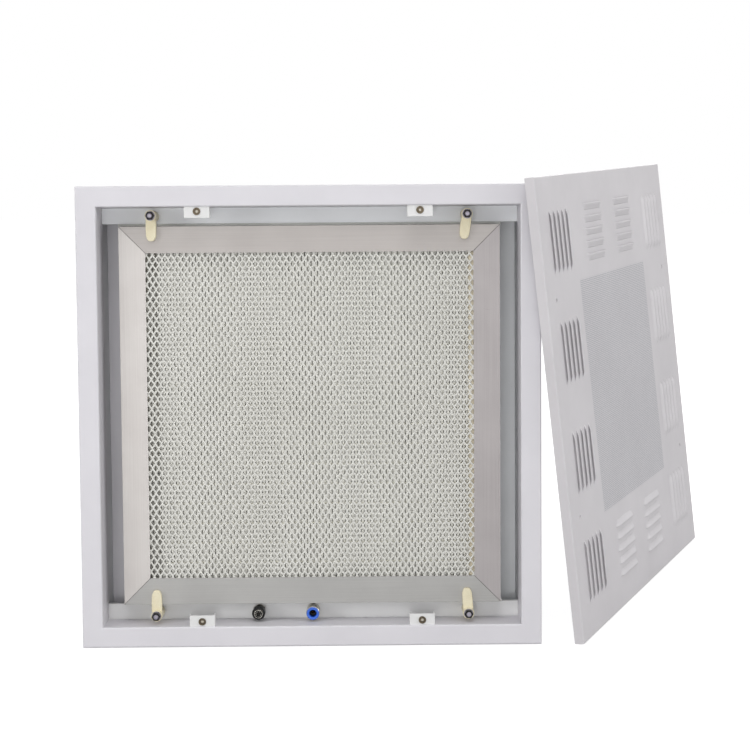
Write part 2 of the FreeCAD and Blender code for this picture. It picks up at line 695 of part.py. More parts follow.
# The four corners: across, up, and how far each clip has been left turned from straight
CORNERS = {"top_left": (-1, 1, 0), "top_right": (1, 1, -7),
           "bottom_left": (-1, -1, 0), "bottom_right": (1, -1, 3.5)}
RAIL_FACE = "-@collar_depth"
studs, washers, nuts, inserts = [], [], [], []
for corner, (across, up, lean) in CORNERS.items():
    x = f"{across} * @stud_spacing / 2"
    y = f"{up} * @rail_line"
    inward = 180 if up > 0 else 0
    nut = hex_nut(f"clip_nut_{corner}", "@nut_flats", "@nut_height",
                  "@stud_radius + @slip / 4", f"{NUT_SEAT} + @washer_height")
    studs.append(shift(clip_stud(f"clip_stud_{corner}"), x, y, RAIL_FACE))
    washers.append(shift(clip_washer(f"clip_washer_{corner}"), x, y, RAIL_FACE))
    nuts.append(shift(nut, x, y, RAIL_FACE))
    nodes.append(shift(filter_clip(f"filter_clip_{corner}"), x, y, RAIL_FACE, inward + lean))
    x = f"{across} * @tab_spacing_across / 2"
    y = f"{up} * @tab_spacing_up / 2"
    turn = 0 if up > 0 else 180
    nodes.append(shift(fixing_tab(f"fixing_tab_{corner}"), x, y, "-@tab_inset", turn))
    inserts.append(shift(rivet_nut(f"rivet_nut_{corner}"), x, y, "-@tab_inset", turn))
    x = f"{across} * {BODY_OUT} / 2"
    turn = 0 if across > 0 else 180
    nodes.append(shift(hanging_lug(f"hanging_lug_{corner}"), x, f"{up} * @lug_line",
                       "@lug_inset - @body_depth", turn))
for label, pieces in (("clip_studs", studs), ("clip_washers", washers), ("clip_nuts", nuts),
                      ("rivet_nuts", inserts)):
    nodes.append(group(label, pieces))

PORT_LINE = "-@rail_line"
BEHIND = "-@collar_depth - @steel - @nut_height"
for across, pieces in (
        ("-@port_spacing", (test_port_body(), test_port_ring(), port_tube("test_port_tube"))),
        ("0", (push_fitting_body(), push_fitting_collet(), port_tube("pressure_tube")))):
    for node in pieces:
        nodes.append(shift(node, across, PORT_LINE, RAIL_FACE))
for label, across in (("test_port_locknut", "-@port_spacing"), ("push_fitting_locknut", "0")):
    locknut = hex_nut(label, "@port_flats", "@nut_height", "@port_stem + @slip / 2", "0")
    nodes.append(shift(locknut, across, PORT_LINE, BEHIND))

panel = diffuser_panel()
doc.recompute()

# The box stands on the return's lower edge and the body's lower rear edge, so it leans back
half_flange = value("@flange_side / 2")
return_depth = value("@return_depth")
back_tilt = math.atan2(half_flange - value(f"{BODY_OUT} / 2"), value("@body_depth") - return_depth)
sine, cosine = math.sin(back_tilt), math.cos(back_tilt)
face_frame = Placement(
    Vector(0, return_depth + half_flange * sine - return_depth * cosine,
           half_flange * cosine + return_depth * sine),
    Rotation(Vector(1, 0, 0), 90 - math.degrees(back_tilt)))

# The panel stands on its rim and leans its back on the flange's upper right corner
yaw, lean = math.radians(value("@panel_yaw")), math.radians(value("@panel_lean"))
along = Vector(math.sin(yaw), math.cos(yaw), 0)
out = Vector(math.cos(yaw) * math.cos(lean), -math.sin(yaw) * math.cos(lean), math.sin(lean))
panel_turn = Rotation(along, out.cross(along), out, "XYZ")
corner = face_frame.multVec(Vector(half_flange, half_flange, 0))
local = face_frame.Rotation.inverted().multVec(out)
rounding = value("@bend") * (local.x + local.z - math.hypot(local.x, local.z))
foot = Vector(0, -value("@panel_nose"), value("@panel_rim") * math.sin(lean))
gap = value("@panel_steel + @slip") - rounding
foot.x = corner.x + (gap + out.y * (corner.y - foot.y) + out.z * (corner.z - foot.z)) / out.x
half_panel = value("@panel_side / 2")
panel.Placement = Placement(
    foot + along * half_panel + panel_turn.multVec(Vector(0, half_panel, 0)), panel_turn)

for node in nodes:
    node.Placement = face_frame.multiply(node.Placement)
nodes.append(panel)
doc.recompute()

# The origin is under the middle of the whole, on the floor
whole = Part.makeCompound([node.Shape for node in nodes]).optimalBoundingBox()
to_origin = Placement(Vector(-(whole.XMin + whole.XMax) / 2, -(whole.YMin + whole.YMax) / 2, 0),
                      Rotation())
for node in nodes:
    node.Placement = to_origin.multiply(node.Placement)
doc.recompute()

for item in doc.Objects:
    if {"Invalid", "Error"} & set(item.State):
        raise RuntimeError(f"{item.Name} did not compute: {item.State}")
for node in nodes:
    if node.Shape.isNull() or not node.Shape.isValid() or not node.Shape.Solids:
        raise RuntimeError(f"{node.Label} has no sound shape")

os.makedirs("parts", exist_ok=True)
for node in nodes:
    node.Shape.exportStep(f"parts/{node.Label}.step")
print(len(nodes), "nodes written, box tilt", round(math.degrees(back_tilt), 3))
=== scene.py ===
import json
import math

import bmesh
import bpy
from bmesh.types import BMEdge, BMFace, BMVert
from mathutils import Matrix, Vector, noise


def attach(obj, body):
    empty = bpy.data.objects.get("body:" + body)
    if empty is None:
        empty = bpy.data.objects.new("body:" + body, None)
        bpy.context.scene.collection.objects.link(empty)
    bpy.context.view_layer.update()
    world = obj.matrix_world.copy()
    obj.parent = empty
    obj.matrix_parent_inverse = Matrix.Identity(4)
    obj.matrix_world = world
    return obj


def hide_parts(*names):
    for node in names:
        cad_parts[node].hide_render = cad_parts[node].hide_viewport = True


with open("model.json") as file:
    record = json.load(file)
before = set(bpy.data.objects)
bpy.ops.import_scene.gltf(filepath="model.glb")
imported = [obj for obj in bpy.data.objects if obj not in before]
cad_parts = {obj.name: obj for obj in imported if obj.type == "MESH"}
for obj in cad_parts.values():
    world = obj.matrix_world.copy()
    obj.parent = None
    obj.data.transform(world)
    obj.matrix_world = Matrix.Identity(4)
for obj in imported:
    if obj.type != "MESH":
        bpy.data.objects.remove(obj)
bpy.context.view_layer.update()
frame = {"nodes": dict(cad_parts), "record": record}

nodes = frame["nodes"]


# The deep frame round the mouth: a flange folded from 1.5 mm sheet steel with a
# return all round and a collar running back into the housing, seam welded and
# powder coated white.
NUT_RIMS_BACK = 0.0015

# Its front plane carries the coordinates of the whole box: x right, y up, z out of the mouth.
# The panel's screws, whose nuts have their rims just behind that plane, give its place.
screws = [m for m in frame["record"]["mounts"] if m["name"].startswith("panel_screw")]
mouth_out = Vector(screws[0]["axis"])
mouth_right = Vector((1, 0, 0))
mouth_up = mouth_out.cross(mouth_right)
mouth_centre = (sum((Vector(m["pos_m"]) for m in screws), Vector()) / len(screws)
                + NUT_RIMS_BACK * mouth_out)
mouth = (Matrix.Translation(mouth_centre)
         @ Matrix((mouth_right, mouth_up, mouth_out)).transposed().to_4x4())


def paint(red, green, blue):
    """A colour given as it looks on a screen, 0 to 255, as the shader wants it."""
    return tuple(((c / 255 + 0.055) / 1.055) ** 2.4 for c in (red, green, blue)) + (1,)


def put(tree, kind, sockets=None, **options):
    """Add a shader node; a socket is given a number, a colour or another node's output."""
    made = tree.nodes.new("ShaderNode" + kind)
    for option, value in options.items():
        setattr(made, option, value)
    for socket, value in (sockets or {}).items():
        if isinstance(value, bpy.types.NodeSocket):
            tree.links.new(value, made.inputs[socket])
        else:
            made.inputs[socket].default_value = value
    return made


def maths(tree, operation, first, second=0.0, third=0.0):
    return put(tree, "Math", {0: first, 1: second, 2: third}, operation=operation).outputs[0]


def ramp(tree, value, low, high, bottom=0.0, top=1.0):
    """Bottom where the value is under low, top where it is over high, even between."""
    return put(tree, "MapRange", {0: value, 1: low, 2: high, 3: bottom, 4: top}).outputs[0]


def blend_colour(tree, share, first, second):
    mix = put(tree, "Mix", {0: share, 6: first, 7: second}, data_type="RGBA")
    return mix.outputs[2]


def new_effect(name, **inputs):
    """A surface effect: a node group on the piece's own straightened coordinates."""
    group = bpy.data.node_groups.new(name, "ShaderNodeTree")
    for label, value in {"Centre": (0, 0, 0), "Turn": (0, 0, 0), **inputs}.items():
        size = len(value) if hasattr(value, "__len__") else 1
        kind = {1: "NodeSocketFloat", 3: "NodeSocketVector", 4: "NodeSocketColor"}[size]
        socket = group.interface.new_socket(label, in_out="INPUT", socket_type=kind)
        socket.default_value = value
    for label, kind in (("Color", "NodeSocketColor"), ("Roughness", "NodeSocketFloat"),
                        ("Height", "NodeSocketFloat")):
        group.interface.new_socket(label, in_out="OUTPUT", socket_type=kind)
    given = group.nodes.new("NodeGroupInput").outputs
    place = put(group, "TexCoord").outputs["Object"]
    straight = put(group, "Mapping", {"Vector": place, "Location": given["Centre"],
                                      "Rotation": given["Turn"]}, vector_type="TEXTURE")
    return group, given, straight.outputs[0], group.nodes.new("NodeGroupOutput").inputs


def give(group, outputs, **results):
    for label, result in results.items():
        group.links.new(result, outputs[label])


def finish(name, effect, values, bump, place=mouth, **shader):
    """A material: the shader, one surface effect, and a bump that follows its height."""
    material = bpy.data.materials.new(name)
    material.use_nodes = True
    tree = material.node_tree
    surface = tree.nodes["Principled BSDF"]
    pattern = tree.nodes.new("ShaderNodeGroup")
    pattern.node_tree = effect
    values = {"Centre": place.to_translation(), "Turn": place.to_euler(), **values}
    for label, value in values.items():
        pattern.inputs[label].default_value = value
    tree.links.new(pattern.outputs["Color"], surface.inputs["Base Color"])
    tree.links.new(pattern.outputs["Roughness"], surface.inputs["Roughness"])
    relief = put(tree, "Bump", {"Height": pattern.outputs["Height"], "Strength": 1.0,
                                "Distance": bump})
    tree.links.new(relief.outputs["Normal"], surface.inputs["Normal"])
    for label, value in shader.items():
        surface.inputs[label.replace("_", " ")].default_value = value
    return material


def dress(material, *names):
    for name in names:
        slots = nodes[name].data.materials
        slots.clear()
        slots.append(material)


# Powder coating: fine orange peel, slow drifts of shade, and a few grains of dust.
GRAINS_PER_METRE, GRAIN_RADIUS, GRAINS_SPARED, GRAIN_STRENGTH = 60.0, 0.022, 0.72, 0.55
coat, given, spot, result = new_effect(
    "powder_coating", Base=(0.8, 0.8, 0.8, 1), Drift=(0.7, 0.7, 0.7, 1),
    Dust=paint(120, 116, 112), Peel=700.0, Sheen=0.42, Field=0.0)
peel = put(coat, "TexNoise", {"Vector": spot, "Scale": given["Peel"], "Detail": 2.0})
cloud = put(coat, "TexNoise", {"Vector": spot, "Scale": 7.0, "Detail": 4.0, "Roughness": 0.6})
shade = blend_colour(coat, ramp(coat, cloud.outputs[0], 0.35, 0.7), given["Base"],
                     given["Drift"])
grain = put(coat, "TexVoronoi", {"Vector": spot, "Scale": GRAINS_PER_METRE, "Randomness": 1.0})
chance = put(coat, "SeparateColor", {0: grain.outputs["Color"]}).outputs[0]
fleck = maths(coat, "MULTIPLY",
              maths(coat, "LESS_THAN", grain.outputs["Distance"], GRAIN_RADIUS),
              maths(coat, "GREATER_THAN", chance, GRAINS_SPARED))
fleck = maths(coat, "MULTIPLY", fleck, GRAIN_STRENGTH)
dusty = blend_colour(coat, fleck, shade, given["Dust"])

# Inside a square of the given half side, fine holes on a 2.5 mm grid are painted as dark dots,
# painted shade in place of holes, and dented into the bump.
HOLES_PER_METRE, HOLE_RADIUS, FIELD_EDGE = 400.0, 0.34, 0.003
axes = put(coat, "SeparateXYZ", {0: spot})
from_middle = maths(coat, "MAXIMUM", maths(coat, "ABSOLUTE", axes.outputs[0]),
                    maths(coat, "ABSOLUTE", axes.outputs[1]))
inside = ramp(coat, maths(coat, "SUBTRACT", given["Field"], from_middle), 0.0, FIELD_EDGE)
holes = put(coat, "TexVoronoi", {"Vector": spot, "Scale": HOLES_PER_METRE, "Randomness": 0.0},
            voronoi_dimensions="2D")
hole_dots_painted_dark = maths(coat, "MULTIPLY",
                maths(coat, "LESS_THAN", holes.outputs["Distance"], HOLE_RADIUS), inside)
give(coat, result, Color=blend_colour(coat, hole_dots_painted_dark, dusty, paint(158, 160, 166)),
     Roughness=maths(coat, "MULTIPLY_ADD", cloud.outputs[0], 0.16, given["Sheen"]),
     Height=maths(coat, "SUBTRACT", peel.outputs[0], hole_dots_painted_dark))


def coated(name, base, drift, peel, sheen, bump=0.00006, field=0.0, place=mouth):
    """A powder coating with fine holes painted as dark dots, as painted shade, over a square
    of this half side.
    """
    return finish(name, coat, {"Base": paint(*base), "Drift": paint(*drift), "Peel": peel,
                               "Sheen": sheen, "Field": field}, bump, place=place)


white_coat = coated("white_powder_coat", base=(217, 215, 220), drift=(211, 209, 214),
                    peel=750.0, sheen=0.36)
dress(white_coat, "mouth_frame")


# The housing behind it: a box of the same coated sheet with a flat back panel that
# is plug welded in, four folded rails that carry the filter's seal, and two rails
# with turned lips that hold the clips and the ports.
# Inside the housing the white coat is a lighter copy, painted light for the shaded interior;
# the left seat rail takes the flange's darker coat as painted shade.
inner_coat_painted_light = coated("inner_powder_coat_painted_light", base=(240, 242, 244), drift=(233, 235, 237),
                    peel=650.0, sheen=0.4)
dress(white_coat, "seat_rail_left")
dress(inner_coat_painted_light, "plenum_body", "back_panel", "clamp_rail_top", "seat_rail_top",
      "seat_rail_bottom", "seat_rail_right")


# Fixing tabs and hanging lugs: small folded brackets of coated steel, spot welded
# to the walls. The tabs take the panel's screws and the lugs the ceiling rods. The
# lower clamp rail has the tabs' coat, a darker copy than the upper rail's, as painted shade.
corners = [f"{height}_{side}" for height in ("top", "bottom") for side in ("left", "right")]
tab_coat = coated("tab_powder_coat", base=(226, 226, 226), drift=(216, 216, 215),
                  peel=900.0, sheen=0.32, bump=0.00005)
dress(tab_coat, "clamp_rail_bottom", *(f"fixing_tab_{corner}" for corner in corners))
dress(white_coat, *(f"hanging_lug_{corner}" for corner in corners))


# The duct collar: a spigot rolled from galvanised sheet with a beaded end, and a
# flange spot welded to the back panel. The zinc shows its crystals.
spangle, given, spot, result = new_effect(
    "zinc_crystals", Light=(0.6, 0.6, 0.6, 1), Dark=(0.4, 0.4, 0.4, 1), Size=110.0)
warp = put(spangle, "TexNoise", {"Vector": spot, "Scale": 60.0, "Detail": 2.0})
nudge = put(spangle, "VectorMath", {0: warp.outputs["Color"], 3: 0.004}, operation="SCALE")
bent = put(spangle, "VectorMath", {0: spot, 1: nudge.outputs[0]}, operation="ADD")
crystals = put(spangle, "TexVoronoi", {"Vector": bent.outputs[0], "Scale": given["Size"]})
facet = put(spangle, "SeparateColor", {0: crystals.outputs["Color"]})
give(spangle, result,
     Color=blend_colour(spangle, facet.outputs[0], given["Dark"], given["Light"]),
     Roughness=maths(spangle, "MULTIPLY_ADD", facet.outputs[1], 0.22, 0.3),
     Height=facet.outputs[2])
zinc_sheet = finish("galvanised_sheet", spangle, {
    "Light": paint(196, 199, 201), "Dark": paint(158, 162, 166), "Size": 110.0},
    0.00002, Metallic=0.9)
dress(zinc_sheet, "duct_collar")


# The filter's frame: four channels drawn in aluminium, mitred at the corners and
# left bare. Drawing leaves fine lines along each, and the mitres stay as dark hairlines.
HAIRLINE, HAIRLINE_DEPTH = 0.00045, 6.0
drawn, given, spot, result = new_effect(
    "drawn_lines", Light=(0.7, 0.7, 0.7, 1), Dark=(0.5, 0.5, 0.5, 1),
    Stretch=(6.0, 900.0, 900.0), Scuffs=0.5, Gloss=0.36, Mitre=0.0)
lines = put(drawn, "Mapping", {"Vector": spot, "Scale": given["Stretch"]})
streaks = put(drawn, "TexNoise", {"Vector": lines.outputs[0], "Scale": 1.0, "Detail": 5.0,
                                  "Roughness": 0.65})
cloud = put(drawn, "TexNoise", {"Vector": spot, "Scale": 14.0, "Detail": 3.0})
tone = maths(drawn, "MULTIPLY_ADD", streaks.outputs[0], 0.6,
             maths(drawn, "MULTIPLY", cloud.outputs[0], 0.4))
shade = blend_colour(drawn, ramp(drawn, tone, 0.36, 0.62), given["Dark"], given["Light"])
scratch = put(drawn, "TexNoise", {"Vector": spot, "Scale": 85.0, "Detail": 6.0,
                                  "Roughness": 0.8, "Distortion": 1.6})
scratch = maths(drawn, "MULTIPLY", ramp(drawn, scratch.outputs[0], 0.66, 0.72),
                given["Scuffs"])
axes = put(drawn, "SeparateXYZ", {0: spot})
diagonal = maths(drawn, "SUBTRACT", maths(drawn, "ABSOLUTE", axes.outputs[0]),
                 maths(drawn, "ABSOLUTE", axes.outputs[1]))
joint = maths(drawn, "LESS_THAN", maths(drawn, "ABSOLUTE", diagonal), HAIRLINE)
joint = maths(drawn, "MULTIPLY", joint, given["Mitre"])
give(drawn, result,
     Color=blend_colour(drawn, maths(drawn, "MAXIMUM", scratch, joint), shade,
                        paint(84, 82, 80)),
     Roughness=maths(drawn, "MULTIPLY_ADD", streaks.outputs[0], 0.14, given["Gloss"]),
     Height=maths(drawn, "SUBTRACT", streaks.outputs[0],
                  maths(drawn, "MULTIPLY", joint, HAIRLINE_DEPTH)))

LENGTHWAYS = {"rail": (6.0, 1100.0, 1100.0), "stile": (1100.0, 6.0, 1100.0)}
# Each member has its own tones, the left stile lightest, as painted reflection and shade on
# one aluminium.
for member, light, dark in (("rail_top", (176, 171, 168), (164, 159, 156)),
                            ("rail_bottom", (169, 168, 166), (157, 156, 154)),
                            ("stile_left", (198, 194, 191), (186, 181, 178)),
                            ("stile_right", (171, 166, 166), (159, 154, 154))):
    aluminium = finish(f"frame_aluminium_painted_light_{member}", drawn, {
        "Light": paint(*light), "Dark": paint(*dark),
        "Stretch": LENGTHWAYS[member.split("_")[0]], "Scuffs": 0.3, "Gloss": 0.44,
        "Mitre": 0.85}, 0.00003, Metallic=0.5)
    dress(aluminium, f"filter_{member}")


# The filter's seal: a foam gasket glued round its back edge, pressed against the
# seat. Two pale foam strips fill the gaps between the filter and the clamp rails
# above and below it, as painted light that lightens the shade in those gaps.
STRIP_LONG, STRIP_THICK, STRIP_DEEP = 0.490, 0.0037, 0.013
STRIP_UP, STRIP_LEVEL, STRIP_ROUND = 0.2442, -0.0530, 0.0007

fine, given, spot, result = new_effect(
    "fine_grain", Base=(0.7, 0.7, 0.7, 1), Drift=(0.6, 0.6, 0.6, 1),
    Stretch=(400.0, 400.0, 400.0), Patch=30.0, Gloss=0.5)
weft = put(fine, "Mapping", {"Vector": spot, "Scale": given["Stretch"]})
grain = put(fine, "TexNoise", {"Vector": weft.outputs[0], "Scale": 1.0, "Detail": 4.0,
                               "Roughness": 0.6})
patch = put(fine, "TexNoise", {"Vector": spot, "Scale": given["Patch"], "Detail": 3.0})
share = ramp(fine, maths(fine, "ADD", grain.outputs[0], patch.outputs[0]), 0.75, 1.3)
give(fine, result, Color=blend_colour(fine, share, given["Base"], given["Drift"]),
     Roughness=maths(fine, "MULTIPLY_ADD", grain.outputs[0], 0.12, given["Gloss"]),
     Height=grain.outputs[0])


def grained(name, base, drift, grain, patch, gloss, bump, **shader):
    """A fine-grained finish; the grain is so many to the metre along x, y and z."""
    return finish(name, fine, {"Base": paint(*base), "Drift": paint(*drift),
                               "Stretch": grain, "Patch": patch, "Gloss": gloss},
                  bump, **shader)


def stand(name, data):
    """An object in the scene, at the origin and unturned."""
    thing = bpy.data.objects.new(name, data)
    bpy.context.scene.collection.objects.link(thing)
    return thing


def settle(name, mesh, material):
    """An object that takes over a finished bmesh, in one material."""
    data = bpy.data.meshes.new(name)
    mesh.to_mesh(data)
    mesh.free()
    data.materials.append(material)
    return stand(name, data)


def make(name, mesh, material, place=mouth, body="housing", smooth=False):
    """A finished piece: its place goes into its mesh and it rides on a body of the frame."""
    bmesh.ops.transform(mesh, matrix=place, verts=mesh.verts)
    piece = settle(name, mesh, material)
    for face in piece.data.polygons:
        face.use_smooth = smooth
    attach(piece, body)
    return piece


def bar(mesh, centre, size):
    bmesh.ops.create_cube(mesh, size=1.0, matrix=Matrix.Translation(centre)
                          @ Matrix.Diagonal((*size, 1)))


def soften(mesh, edges, by, segments):
    bmesh.ops.bevel(mesh, geom=edges, offset=by, affect="EDGES", segments=segments,
                    profile=0.5, material=-1)


foam = grained("gasket_foam", base=(150, 152, 150), drift=(132, 134, 133),
               grain=(1400.0,) * 3, patch=60.0, gloss=0.8, bump=0.0002)
gap_foam_painted_light = grained("gap_foam_painted_light", base=(206, 207, 203), drift=(194, 195, 191),
                     grain=(1400.0,) * 3, patch=60.0, gloss=0.8, bump=0.0002)
dress(foam, "filter_gasket")
# Pale strips in the gaps above and below the filter, as painted light.
strips = bmesh.new()
for side in (-1, 1):
    bar(strips, (0, side * STRIP_UP, STRIP_LEVEL), (STRIP_LONG, STRIP_THICK, STRIP_DEEP))
soften(strips, strips.edges, STRIP_ROUND, 2)
make("gap_strips_painted_light", strips, gap_foam_painted_light)


# The potting: resin cast round the paper to seal it into the channels, and a bead of
# it, run along the right-hand end of the pleats and rounded as it set.
BEAD_ACROSS, BEAD_LEVEL, BEAD_ROUND = 0.2060, -0.0345, 0.0012
BEAD_WIDE, BEAD_LONG, BEAD_DEEP = 0.0085, 0.417, 0.005

resin = grained("potting_resin", base=(224, 214, 192), drift=(208, 197, 172),
                grain=(60.0,) * 3, patch=25.0, gloss=0.25, bump=0.0002)
dress(resin, "potting_seal")
bead = bmesh.new()
bar(bead, (BEAD_ACROSS, 0, BEAD_LEVEL), (BEAD_WIDE, BEAD_LONG, BEAD_DEEP))
soften(bead, bead.edges, BEAD_ROUND, 3)
make("resin_bead", bead, resin, smooth=True)


# The filter paper: one web of glass fibre folded in narrow upright pleats, held apart
# by threads of hot melt laid across its front. Next to the left-hand channel the
# front folds lie deeper.
PACK, PLEAT, FOLD, LIFT = 0.464, 0.0041, 0.0033, 0.0012
PAPER_FRONT, PAPER_BACK, PAPER = -0.0400, -0.0922, 0.0003
FOLD_STEPS, BANDS = 6, 24
FULL_FROM, SINK_OVER, SINK = -0.1935, 0.007, 0.3
SWAY, UNEVEN = 0.0007, 0.0005
THREAD_PITCH, THREAD = 0.0254, 0.0008


def only(kind, found):
    """The vertices, edges or faces among what a bmesh operator gives back."""
    return [part for part in found["geom"] if isinstance(part, kind)]


def repeat(mesh, count, step):
    """Copies of all that the mesh holds, each a step on from the last."""
    first = mesh.verts[:] + mesh.edges[:] + mesh.faces[:]
    for number in range(1, count):
        copy = bmesh.ops.duplicate(mesh, geom=first)
        bmesh.ops.translate(mesh, verts=only(BMVert, copy), vec=Vector(step) * number)


paper = grained("glass_paper", base=(249, 248, 243), drift=(242, 241, 235),
                grain=(900.0, 260.0, 900.0), patch=40.0, gloss=0.85, bump=0.00005)
pleats = bmesh.new()
folded = []
for side, crest, fall in ((0, PAPER_FRONT, -LIFT), (PLEAT / 2, PAPER_BACK, LIFT)):
    for step in range(FOLD_STEPS + 1):
        turn = math.pi * step / FOLD_STEPS
        folded.append(pleats.verts.new((side - FOLD / 2 * math.cos(turn), 0,
                                        crest + fall * (1 - math.sin(turn)))))
for first, second in zip(folded, folded[1:]):
    pleats.edges.new((first, second))
repeat(pleats, int(PACK / PLEAT), (PLEAT, 0, 0))
ends = sorted((v for v in pleats.verts if len(v.link_edges) == 1), key=lambda v: v.co.x)
for rear, front in zip(ends[1:-1:2], ends[2:-1:2]):
    pleats.edges.new((rear, front))
bmesh.ops.translate(pleats, verts=pleats.verts, vec=(-PACK / 2 + PLEAT / 2, -PACK / 2, 0))
front_line = pleats.edges[:]
for band in range(BANDS):
    pulled = bmesh.ops.extrude_edge_only(pleats, edges=front_line)
    front_line = only(BMEdge, pulled)
    bmesh.ops.translate(pleats, verts=only(BMVert, pulled), vec=(0, PACK / BANDS, 0))
for v in pleats.verts:
    sunk = min(max((FULL_FROM - v.co.x) / SINK_OVER, 0), 1)
    v.co.z = PAPER_BACK + (v.co.z - PAPER_BACK) * (1 - SINK * sunk)
    v.co.x += SWAY * noise.noise(Vector((v.co.x * 22, v.co.y * 30, 3.0)))
    v.co.z += UNEVEN * noise.noise(Vector((v.co.x * 60, v.co.y * 45, 7.0)))
pleated_paper = make("pleated_paper", pleats, paper, smooth=True)
thickness = pleated_paper.modifiers.new("paper_thickness", "SOLIDIFY")
thickness.thickness = PAPER
thickness.offset = 0
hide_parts("media_pack")

melt = grained("hot_melt", base=(236, 234, 222), drift=(226, 223, 208),
               grain=(300.0,) * 3, patch=90.0, gloss=0.4, bump=0.0001)
threads = bmesh.new()
count, thread_end = int(PACK / THREAD_PITCH), PACK / 2 - FOLD
for row in range(count):
    level = (row - (count - 1) / 2) * THREAD_PITCH
    middle = ((thread_end + FULL_FROM) / 2, level, PAPER_FRONT - THREAD * 0.6)
    bmesh.ops.create_cone(threads, cap_ends=True, segments=8, radius1=THREAD, radius2=THREAD,
                          depth=thread_end - FULL_FROM, matrix=Matrix.Translation(middle)
                          @ Matrix.Rotation(math.pi / 2, 4, "Y"))
make("glue_threads", threads, melt, smooth=True)


# The faceguard: one sheet of steel pierced with rows of upright holes, each row
# half a hole to the side of the next, white lacquered, lying behind the frame's lips.
PITCH, RISE, SHOULDER, STRAND = 0.0079, 0.0127, 0.0011, 0.00125
GUARD_FRONT, GUARD_STEEL, CROWN = -0.0296, 0.0009, 0.00022
COLUMNS, ROWS, TOUCHING = 54, 34, 1e-5

guard = bmesh.new()
for v in bmesh.ops.create_circle(guard, cap_ends=True, segments=6, radius=1.0)["verts"]:
    at_tip = abs(v.co.x) < 0.1
    v.co = (0 if at_tip else math.copysign(PITCH / 2, v.co.x),
            math.copysign(RISE / 2 - SHOULDER if at_tip else SHOULDER, v.co.y), CROWN)
hole = guard.faces[:]
rim = bmesh.ops.inset_individual(guard, faces=hole, thickness=STRAND)["faces"]
for v in hole[0].verts:
    v.co.z = 0
floor_of_hole = bmesh.ops.extrude_discrete_faces(guard, faces=hole)["faces"]
bmesh.ops.translate(guard, verts=floor_of_hole[0].verts, vec=(0, 0, -GUARD_STEEL))
bmesh.ops.delete(guard, geom=floor_of_hole, context="FACES")
back = bmesh.ops.duplicate(guard, geom=rim)
bmesh.ops.reverse_faces(guard, faces=only(BMFace, back))
bmesh.ops.translate(guard, verts=only(BMVert, back), vec=(0, 0, -GUARD_STEEL - CROWN / 2))
for v in only(BMVert, back):
    if v.co.z < -GUARD_STEEL - CROWN / 4:
        v.co.z = -GUARD_STEEL
bmesh.ops.remove_doubles(guard, verts=guard.verts, dist=TOUCHING)
repeat(guard, COLUMNS, (PITCH, 0, 0))
repeat(guard, 2, (PITCH / 2, RISE / 2, 0))
repeat(guard, ROWS, (0, RISE, 0))
bmesh.ops.remove_doubles(guard, verts=guard.verts, dist=TOUCHING)
bmesh.ops.bridge_loops(guard, edges=[e for e in guard.edges if e.is_boundary])
bmesh.ops.translate(guard, verts=guard.verts, vec=(
    -(COLUMNS - 0.5) * PITCH / 2, -(2 * ROWS - 1) * RISE / 4, GUARD_FRONT - CROWN))
bmesh.ops.recalc_face_normals(guard, faces=guard.faces)
lacquer = grained("guard_lacquer", base=(217, 216, 211), drift=(209, 208, 202),
                  grain=(500.0,) * 3, patch=12.0, gloss=0.34, bump=0.00004)
pierced_guard = make("pierced_guard", guard, lacquer)
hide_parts("faceguard")


# Clips: four fingers moulded in cream nylon, each turning on a zinc stud that is
# welded to the rail, under a washer and a black lock nut.
STUD_ACROSS, STUD_UP, LEFT_TURNED = 0.2, 0.2553, {"top_right": -7.0, "bottom_right": 3.5}
BOSS, CLIP_BORE, BOSS_BACK, BOSS_FRONT, BOSS_SEGMENTS = 0.00715, 0.0032, -0.0517, -0.0177, 40
ARM_BACK, ARM_FRONT, ARM_START, ARM_ROUND = -0.0277, -0.0217, 0.0045, 0.0011
ARM_EDGE = ((0.0066, ARM_START), (0.0066, 0.0150), (0.0062, 0.0252), (0.0052, 0.0288),
            (0.0037, 0.0310), (0.0016, 0.0319))


def edges_at(verts):
    """The edges that meet these vertices, each once."""
    return list({edge for v in verts for edge in v.link_edges})


nylon = grained("clip_nylon", base=(232, 224, 196), drift=(222, 212, 180),
                grain=(700.0,) * 3, patch=60.0, gloss=0.42, bump=0.00004)
for corner in corners:
    finger = bmesh.new()
    arm = finger.faces.new([finger.verts.new((side * x, y, ARM_BACK)) for side, edge in
                            ((1, ARM_EDGE), (-1, ARM_EDGE[::-1])) for x, y in edge])
    pulled = bmesh.ops.extrude_face_region(finger, geom=[arm], use_keep_orig=True)
    crown = only(BMVert, pulled)
    bmesh.ops.translate(finger, verts=crown, vec=(0, 0, ARM_FRONT - ARM_BACK))
    soften(finger, [e for e in finger.edges if all(v in crown for v in e.verts)], ARM_ROUND, 3)
    outer, inner = (bmesh.ops.create_circle(
        finger, segments=BOSS_SEGMENTS, radius=radius,
        matrix=Matrix.Translation((0, 0, BOSS_BACK)))["verts"] for radius in (BOSS, CLIP_BORE))
    base = bmesh.ops.bridge_loops(finger, edges=edges_at(outer + inner))["faces"]
    pulled = bmesh.ops.extrude_face_region(finger, geom=base, use_keep_orig=True)
    bmesh.ops.translate(finger, verts=only(BMVert, pulled), vec=(0, 0, BOSS_FRONT - BOSS_BACK))
    bmesh.ops.recalc_face_normals(finger, faces=finger.faces)
    upper = corner.startswith("top")
    turn = math.radians((180 if upper else 0) + LEFT_TURNED.get(corner, 0))
    stud = Vector((STUD_ACROSS if corner.endswith("right") else -STUD_ACROSS,
                   STUD_UP if upper else -STUD_UP, 0))
    clip = make(f"moulded_clip_{corner}", finger, nylon, body=f"clip_{corner}",
                place=mouth @ Matrix.Translation(stud) @ Matrix.Rotation(turn, 4, "Z"))
    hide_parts(f"filter_clip_{corner}")

